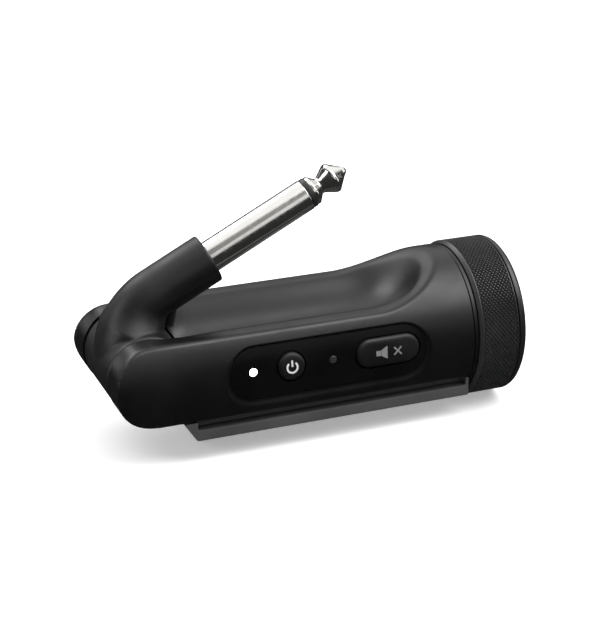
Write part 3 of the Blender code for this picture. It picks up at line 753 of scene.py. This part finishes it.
def mute_mark(material, centre):
    """Make a crossed-out loudspeaker in place of lettering."""
    z = centre[1]
    tall = MUTE_SIGN_HEIGHT / 2
    left = centre[0] - MUTE_SIGN_HALF
    magnet_right = left + MAGNET_LENGTH
    cone_left = magnet_right + CONE_GAP
    cone_right = left + CONE_END
    magnet = [((x, z - MAGNET_SHARE * tall), (x, z + MAGNET_SHARE * tall))
              for x in (left, magnet_right)]
    cone = [((cone_left, z - CONE_SHARE * tall), (cone_left, z + CONE_SHARE * tall)),
            ((cone_right, z - tall), (cone_right, z + tall))]
    low = z - CROSS_SHARE * tall
    high = z + CROSS_SHARE * tall
    right = centre[0] + MUTE_SIGN_HALF
    start = right - 2 * CROSS_SHARE * tall
    strokes = [bar((start, low), (right, high), MUTE_SIGN_WIDTH),
               bar((start, high), (right, low), MUTE_SIGN_WIDTH)]
    mark("mute_sign", [magnet, cone, *strokes], "mute_key", material)


# ---------------------------------------------------------------- grip

def make_grip(paints):
    """Make the neck ring, the knurled ring and the smooth end cap."""
    middle = (0, 0, TUBE_Z)
    axis = (1, 0, 0)
    outer = TUBE_RADIUS - NECK_SINK
    profile = [(NECK_LEFT, NECK_INNER), (NECK_LEFT, outer), (NECK_RIGHT, outer),
               (NECK_RIGHT, NECK_INNER)]
    rounded = round_corners(profile, NECK_EDGE)
    neck = turn("neck", rounded, middle, axis, paints["housing"], ROUND_WIDE)
    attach(sharpen(neck), "housing")
    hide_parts("neck_ring")

    ring = knurled_ring("knurled_ring", paints["grip"])
    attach(ring, "housing")
    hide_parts("grip_ring")

    cap = turn("end_cap_moulding", cap_profile(), middle, axis, paints["cap"], ROUND_WIDE)
    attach(sharpen(cap, SHARP_SOFT), "housing")
    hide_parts("end_cap")


def cap_profile():
    """Return the end cap's profile: a spigot, a rolled rim and a slightly dished face."""
    rim = CAP_RADIUS
    left = GRIP_RIGHT + 0.2
    return [(SPIGOT_LEFT, SPIGOT_INNER), (SPIGOT_LEFT, SPIGOT_RADIUS), (left, SPIGOT_RADIUS),
            (left, rim - 0.35), (GRIP_RIGHT + 0.35, rim - 0.05), (GRIP_RIGHT + 0.6, rim),
            (38.4, rim), (38.85, rim - 0.2), (39.15, rim - 0.55), (39.32, rim - 1.0),
            (CAP_FACE, rim - 1.6), (CAP_FACE, rim - 2.6), (CAP_DISH, rim - 2.9), (CAP_DISH, 0),
            (CAP_INSIDE, 0), (CAP_INSIDE, SPIGOT_INNER)]


def knurled_ring(name, material):
    """Make a ring with a diamond knurl of flat-topped pyramids between two smooth bands."""
    pitch = (KNURL_RIGHT - KNURL_LEFT) / KNURL_ROWS
    floor = GRIP_RADIUS - KNURL_DEPTH
    step = 2 * math.pi / KNURL_AROUND

    def at(x, turns, radius):
        """Return a point on the ring, with its turn counted in knurls."""
        angle = turns * step
        return (x, radius * math.sin(angle), TUBE_Z + radius * math.cos(angle))

    points = []
    faces = []
    corner = {}

    def grid(column, row):
        """Return the index of a valley's corner, made the first time it is asked for."""
        key = (column % (2 * KNURL_AROUND), row)
        if key not in corner:
            corner[key] = len(points)
            points.append(at(KNURL_LEFT + pitch * row / 2, key[0] / 2, floor))
        return corner[key]

    for row in range(2 * KNURL_ROWS + 1):
        for column in range(2 * KNURL_AROUND):
            if (row + column) % 2:
                continue
            before = grid(column - 1, row)
            after = grid(column + 1, row)
            below = grid(column, row - 1) if row > 0 else None
            above = grid(column, row + 1) if row < 2 * KNURL_ROWS else None
            around = [before, below, after, above]
            x = KNURL_LEFT + pitch * row / 2
            side = KNURL_TOP * pitch / 2
            places = [(x, column / 2 - KNURL_TOP / 2), (x - side, column / 2),
                      (x, column / 2 + KNURL_TOP / 2), (x + side, column / 2)]
            peak = {}
            for i, (along, turns) in enumerate(places):
                if around[i] is None:
                    continue
                peak[i] = len(points)
                points.append(at(along, turns, GRIP_RADIUS - KNURL_SINK))
            for i in range(4):
                j = (i + 1) % 4
                if around[i] is not None and around[j] is not None:
                    faces.append((around[i], around[j], peak[j], peak[i]))
            faces.append(tuple(peak[i] for i in sorted(peak)))
            if below is None or above is None:
                middle = len(points)
                points.append(at(x, column / 2, floor))
                faces.append((around[0], peak[0], middle))
                faces.append((peak[0], peak[2], middle))
                faces.append((peak[2], around[2], middle))
    knurl = piece(name, points, faces, material, smooth=False)
    close_ring(knurl, floor)
    return knurl


def close_ring(item, floor):
    """Add the smooth bands, the faces and the bore to the knurl, and weld them to it."""
    form = bmesh.new()
    form.from_mesh(item.data)
    count = 2 * KNURL_AROUND
    rim = BAND_RADIUS
    profile = [(KNURL_RIGHT, floor), (KNURL_RIGHT + 0.04, floor), (KNURL_RIGHT + 0.1, rim - 0.1),
               (KNURL_RIGHT + 0.18, rim), (GRIP_RIGHT - 0.06, rim), (GRIP_RIGHT, rim - 0.08),
               (GRIP_RIGHT, GRIP_INNER), (GRIP_LEFT, GRIP_INNER), (GRIP_LEFT, rim - 0.6),
               (GRIP_LEFT + 0.1, rim - 0.5), (GRIP_LEFT + 0.5, rim - 0.06),
               (GRIP_LEFT + 0.6, rim), (KNURL_LEFT - 0.16, rim), (KNURL_LEFT - 0.08, rim - 0.1),
               (KNURL_LEFT - 0.03, floor), (KNURL_LEFT, floor)]
    rows = []
    for x, radius in profile:
        row = []
        for i in range(count):
            angle = 2 * math.pi * i / count
            place = Vector((x, radius * math.sin(angle), TUBE_Z + radius * math.cos(angle))) * MM
            row.append(form.verts.new(place))
        rows.append(row)
    for upper, lower in zip(rows, rows[1:]):
        for i in range(count):
            j = (i + 1) % count
            face = form.faces.new((upper[i], upper[j], lower[j], lower[i]))
            face.smooth = True
    bmesh.ops.remove_doubles(form, verts=form.verts, dist=WELD_RING)
    bmesh.ops.recalc_face_normals(form, faces=form.faces)
    form.to_mesh(item.data)
    form.free()
    sharpen(item, SHARP_METAL)


# ---------------------------------------------------------------- arm and plug

def arm_sections():
    """Return the arm's sections from hub to shoulder, as (front edge, back edge, half width)."""
    up = math.atan2(ELBOW[1], ELBOW[0])
    angle = up - PLUG_ANGLE
    lean = Vector((math.cos(up), math.sin(up)))
    front = Vector((lean.y, -lean.x))
    straight = Vector(ELBOW).length - ELBOW_RADIUS * math.tan(angle / 2)
    bend_centre = lean * straight + front * ELBOW_RADIUS
    total = COLUMN_STEPS + BEND_STEPS
    quarter = math.radians(90)
    sections = []
    for i in range(total + 1):
        back_heading = quarter + (PLUG_ANGLE - quarter) * i / total
        back = Vector(ARM_BACK_CENTRE) + heading_side(back_heading) * ARM_BACK_RADIUS
        if i <= COLUMN_STEPS:
            along = (straight + ARM_BURY) * i / COLUMN_STEPS - ARM_BURY
            edge = lean * along + front * COLUMN_FRONT
        else:
            share = (i - COLUMN_STEPS) / BEND_STEPS
            along = straight + ELBOW_RADIUS * angle * share
            depth = COLUMN_FRONT + (ARM_RADIUS - COLUMN_FRONT) * share
            edge = bend_centre + heading_side(up - angle * share) * (ELBOW_RADIUS - depth)
        flare = min(1.0, max(0.0, 1 - (along - FLARE_START) / FLARE_LENGTH)) ** FLARE_POWER
        sections.append((edge, back, ARM_RADIUS + (ARM_BASE_HALF_WIDTH - ARM_RADIUS) * flare))
    heading = Vector((math.cos(PLUG_ANGLE), math.sin(PLUG_ANGLE)))
    shoulder = Vector(ELBOW) + heading * ARM_STRAIGHT
    side = heading_side(PLUG_ANGLE) * ARM_RADIUS
    sections.append((shoulder - side, shoulder + side, ARM_RADIUS))
    return sections


def heading_side(heading):
    """Return the direction to the left of a heading."""
    return Vector((-math.sin(heading), math.cos(heading)))


def arm_rings():
    """Return the arm's outlines, one for each section."""
    rings = []
    for front, back, half_width in arm_sections():
        middle = (front + back) / 2
        reach = (back - front) / 2
        ring = []
        for i in range(ARM_SIDES):
            angle = 2 * math.pi * i / ARM_SIDES
            place = middle + reach * math.cos(angle)
            ring.append((PIVOT_X + place.x, half_width * math.sin(angle), PIVOT_Z + place.y))
        rings.append(ring)
    return rings


def plug_frame():
    """Return the plug's shoulder and its direction."""
    heading = Vector((math.cos(PLUG_ANGLE), 0, math.sin(PLUG_ANGLE)))
    elbow = Vector((PIVOT_X + ELBOW[0], 0, PIVOT_Z + ELBOW[1]))
    return elbow + heading * ARM_STRAIGHT, heading


def make_arm(material):
    """Make the soft-touch arm: hub barrel, bent neck and plug housing, blended together."""
    item = loft("arm_moulding", arm_rings(), material)
    half = HUB_HALF_LENGTH
    barrel = [(-half, 0), (-half, HUB_RADIUS), (half, HUB_RADIUS), (half, 0)]
    rounded = round_corners(barrel, HUB_EDGE)
    hub = turn("hub", rounded, (PIVOT_X, 0, PIVOT_Z), (0, 1, 0), None)
    apply_boolean(item, hub, "UNION")
    remesh = item.modifiers.new("remesh", "REMESH")
    remesh.mode = "VOXEL"
    remesh.voxel_size = ARM_VOXEL * MM
    soften = item.modifiers.new("soften", "SMOOTH")
    soften.factor = ARM_SMOOTHING
    soften.iterations = ARM_SMOOTH_ROUNDS
    apply_modifiers(item)
    for polygon in item.data.polygons:
        polygon.use_smooth = True
    low = -PLUG_SEAT - SEAT_GAP
    radius = PLUG_RADIUS + PLUG_FIT
    seat = [(low, 0), (low, radius), (SEAT_OPEN_LENGTH, radius), (SEAT_OPEN_LENGTH, 0)]
    apply_boolean(item, turn("seat", seat, *plug_frame(), None, ROUND_SEAT))
    apply_boolean(item, pivot_rod("bore", HUB_BORE_HALF_LENGTH))
    sharpen(item, SHARP_SOFT)
    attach(item, "plug_assembly")
    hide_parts("plug_arm")


def make_plug(paints):
    """Make the jack plug's sleeve, insulating ring and tip."""
    shoulder, heading = plug_frame()
    sleeve = [(-PLUG_SEAT, SLEEVE_INNER), (-PLUG_SEAT, PLUG_RADIUS),
              (SLEEVE_LENGTH - 0.22, PLUG_RADIUS), (SLEEVE_END, PLUG_RADIUS - 0.16),
              (SLEEVE_END, SLEEVE_INNER)]
    ring = [(SLEEVE_LENGTH, RING_INNER), (SLEEVE_LENGTH, 3.0), (SLEEVE_LENGTH + 0.08, PLUG_RIM),
            (INSULATOR_END - 0.08, PLUG_RIM), (INSULATOR_END, 3.0), (INSULATOR_END, RING_INNER)]
    tip = [(-PLUG_SEAT, 0), (-PLUG_SEAT, TIP_PROFILE[0][1]), *TIP_PROFILE]
    for name, profile, radius, paint_name, node, slot in (
            ("jack_sleeve", sleeve, SLEEVE_CORNER, "nickel", "plug_sleeve", "plug_nickel"),
            ("jack_ring", ring, RING_CORNER, "insulator", "plug_insulator", "plug_insulation"),
            ("jack_tip", tip, TIP_CORNER, "nickel", "plug_tip", "plug_nickel")):
        rounded = round_corners(profile, radius, CORNER_STEPS_FINE)
        item = turn(name, rounded, shoulder, heading, paints[paint_name])
        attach(sharpen(item, SHARP_METAL), "plug_assembly")
        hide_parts(node)


# ---------------------------------------------------------------- materials

def shader_material(name, roughness, metallic=0.0, specular=0.5):
    """Return a material, its node tree and its Principled shader, ready for detail."""
    material = bpy.data.materials.new(name)
    material.use_nodes = True
    tree = material.node_tree
    shader = tree.nodes["Principled BSDF"]
    shader.inputs["Roughness"].default_value = roughness
    shader.inputs["Metallic"].default_value = metallic
    shader.inputs["Specular IOR Level"].default_value = specular
    return material, tree, shader


def noise(tree, scale, detail=DETAIL, stretch=(1, 1, 1)):
    """Return the output of a noise texture in object space, with its size in 1/m."""
    place = tree.nodes.new("ShaderNodeTexCoord")
    mapping = tree.nodes.new("ShaderNodeMapping")
    mapping.inputs["Scale"].default_value = stretch
    texture = tree.nodes.new("ShaderNodeTexNoise")
    texture.inputs["Scale"].default_value = scale
    texture.inputs["Detail"].default_value = detail
    tree.links.new(place.outputs["Object"], mapping.inputs["Vector"])
    tree.links.new(mapping.outputs["Vector"], texture.inputs["Vector"])
    return texture.outputs["Fac"]


def spread(tree, value, low, high):
    """Return a noise mapped to a range."""
    node = tree.nodes.new("ShaderNodeMapRange")
    node.inputs["From Min"].default_value = NOISE_DARK
    node.inputs["From Max"].default_value = NOISE_BRIGHT
    node.inputs["To Min"].default_value = low
    node.inputs["To Max"].default_value = high
    tree.links.new(value, node.inputs["Value"])
    return node.outputs["Result"]


def tint(tree, value, dark, light):
    """Return a colour between two, by a value."""
    node = tree.nodes.new("ShaderNodeMix")
    node.data_type = "RGBA"
    node.inputs["A"].default_value = (*dark, 1)
    node.inputs["B"].default_value = (*light, 1)
    tree.links.new(value, node.inputs["Factor"])
    return node.outputs["Result"]


def bump(tree, shader, value, distance):
    """Give a shader a bump from a value, with its height in metres."""
    node = tree.nodes.new("ShaderNodeBump")
    node.inputs["Strength"].default_value = 1.0
    node.inputs["Distance"].default_value = distance
    tree.links.new(value, node.inputs["Height"])
    tree.links.new(node.outputs["Normal"], shader.inputs["Normal"])


def vary_colour(tree, shader, value, dark, light):
    """Let a shader's colour run between two by a noise."""
    colour = tint(tree, spread(tree, value, 0.0, 1.0), dark, light)
    tree.links.new(colour, shader.inputs["Base Color"])
    return colour


def vary_gloss(tree, shader, value, low, high):
    """Let a shader's roughness run between two values by a noise."""
    tree.links.new(spread(tree, value, low, high), shader.inputs["Roughness"])


def plastic(name, dark, light, roughness, grain, depth, specular):
    """Return a moulded plastic with a spark-eroded grain and slightly uneven gloss."""
    material, tree, shader = shader_material(name, roughness, specular=specular)
    fine = noise(tree, grain, DETAIL_FINE)
    broad = noise(tree, CLOUD_SCALE)
    vary_colour(tree, shader, broad, dark, light)
    vary_gloss(tree, shader, broad, roughness - GLOSS_SWEEP, roughness + GLOSS_SWEEP)
    bump(tree, shader, fine, depth)
    return material


def metal(name, dark, light, roughness, stretch):
    """Return a plated metal with fine turning marks."""
    material, tree, shader = shader_material(name, roughness, metallic=1.0)
    marks = noise(tree, METAL_MARK_SCALE, DETAIL_FINE, stretch)
    broad = noise(tree, METAL_CLOUD_SCALE)
    vary_colour(tree, shader, broad, dark, light)
    vary_gloss(tree, shader, marks, roughness - METAL_SMOOTHER, roughness + METAL_ROUGHER)
    bump(tree, shader, marks, METAL_MARK_DEPTH)
    return material


def lamp(name, brightness, strength):
    """Return a glowing face with a slightly uneven tint: a lit diffuser, or painted glow on the unlit
    lens and the signs.
    """
    material, tree, shader = shader_material(name, LAMP_ROUGHNESS)
    mottle = noise(tree, LAMP_MOTTLE_SCALE)
    light = [brightness] * 3
    dark = [value * LAMP_MOTTLE for value in light]
    colour = vary_colour(tree, shader, mottle, dark, light)
    tree.links.new(colour, shader.inputs["Emission Color"])
    shader.inputs["Emission Strength"].default_value = strength
    return material


def make_paints():
    """Return every material by name."""
    paints = {name: plastic(*values) for name, values in PLASTICS.items()}
    paints.update((name, metal(*values)) for name, values in METALS.items())
    paints.update((name, lamp(*values)) for name, values in LAMPS.items())
    return paints


def paint_nodes(paints):
    """Give each CAD node that stays its material."""
    wanted = {
        "dock_rail": "rail", "plug_inner_tube": "insulator", "hinge_pin": "steel",
        "friction_washer_near": "nylon", "friction_washer_far": "nylon", "rail_screw_front": "steel",
        "rail_screw_rear": "steel", "antenna_board": "board", "battery_pad": "foam", "battery": "wrap",
        "main_board": "board", "radio_shield": "tin", "control_board": "board", "power_switch": "switch",
        "mute_switch": "switch", "status_led": "led", "mute_led": "led",
    }
    for node, name in wanted.items():
        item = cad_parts[node]
        item.data.materials.clear()
        item.data.materials.append(paints[name])


# ---------------------------------------------------------------- stage

def area_light(name, place, target, width, height, power):
    """Make a soft rectangular light aimed at a point."""
    light = bpy.data.lights.new(name, "AREA")
    light.shape = "RECTANGLE"
    light.size = width
    light.size_y = height
    light.energy = power
    item = bpy.data.objects.new(name, light)
    item.location = place
    aim = Vector(target) - Vector(place)
    item.rotation_euler = aim.to_track_quat("-Z", "Y").to_euler()
    bpy.context.scene.collection.objects.link(item)


def make_world():
    """Make a studio world: bright above and behind, dim in front and below."""
    world = bpy.data.worlds.new("studio")
    bpy.context.scene.world = world
    world.use_nodes = True
    tree = world.node_tree
    place = tree.nodes.new("ShaderNodeTexCoord")
    dot = tree.nodes.new("ShaderNodeVectorMath")
    dot.operation = "DOT_PRODUCT"
    dot.inputs[1].default_value = Vector(WORLD_UP).normalized()
    ramp = tree.nodes.new("ShaderNodeMapRange")
    ramp.interpolation_type = "SMOOTHSTEP"
    ramp.inputs["From Min"].default_value = WORLD_DARK_FROM
    ramp.inputs["From Max"].default_value = WORLD_BRIGHT_FROM
    ramp.inputs["To Min"].default_value = WORLD_DARK
    ramp.inputs["To Max"].default_value = WORLD_BRIGHT
    tree.links.new(place.outputs["Generated"], dot.inputs[0])
    tree.links.new(dot.outputs["Value"], ramp.inputs["Value"])
    tree.links.new(ramp.outputs["Result"], tree.nodes["Background"].inputs["Color"])


def make_floor():
    """Make the pale floor, which the glossy pieces don't mirror."""
    material = bpy.data.materials.new("floor_white")
    material.use_nodes = True
    shader = material.node_tree.nodes["Principled BSDF"]
    shader.inputs["Base Color"].default_value = (FLOOR_WHITE, FLOOR_WHITE, FLOOR_WHITE, 1)
    shader.inputs["Roughness"].default_value = FLOOR_ROUGHNESS
    shader.inputs["Emission Color"].default_value = (1, 1, 1, 1)
    shader.inputs["Emission Strength"].default_value = FLOOR_GLOW
    mesh = bpy.data.meshes.new("floor")
    corners = [(-FLOOR_HALF, -FLOOR_HALF, 0), (FLOOR_HALF, -FLOOR_HALF, 0),
               (FLOOR_HALF, FLOOR_HALF, 0), (-FLOOR_HALF, FLOOR_HALF, 0)]
    mesh.from_pydata(corners, [], [(0, 1, 2, 3)])
    mesh.materials.append(material)
    floor = bpy.data.objects.new("floor", mesh)
    bpy.context.scene.collection.objects.link(floor)
    floor.visible_glossy = False


def make_camera():
    """Make the camera at the photograph's angle, and use it."""
    camera = bpy.data.cameras.new("camera")
    camera.lens = CAMERA_LENS
    camera.clip_start = CAMERA_CLIP
    item = bpy.data.objects.new("camera", camera)
    level = math.cos(CAMERA_ELEVATION)
    back = Vector((math.sin(CAMERA_AZIMUTH) * level, -math.cos(CAMERA_AZIMUTH) * level,
                   math.sin(CAMERA_ELEVATION)))
    item.location = Vector(CAMERA_TARGET) + back * CAMERA_DISTANCE
    item.rotation_mode = "QUATERNION"
    roll = Matrix.Rotation(CAMERA_ROLL, 3, "Z").to_quaternion()
    item.rotation_quaternion = back.to_track_quat("Z", "Y") @ roll
    bpy.context.scene.collection.objects.link(item)
    bpy.context.scene.camera = item


def make_stage():
    """Make the floor, the soft lights, the world and the camera."""
    make_floor()
    for name, values in LIGHTS.items():
        area_light(name, *values)
    make_world()
    bpy.context.scene.view_settings.view_transform = "Standard"
    make_camera()


def main():
    """Build the visual model round the frame."""
    paints = make_paints()
    make_housing(paints["housing"])
    make_controls(paints)
    make_grip(paints)
    make_arm(paints["arm"])
    make_plug(paints)
    paint_nodes(paints)
    make_stage()


main()
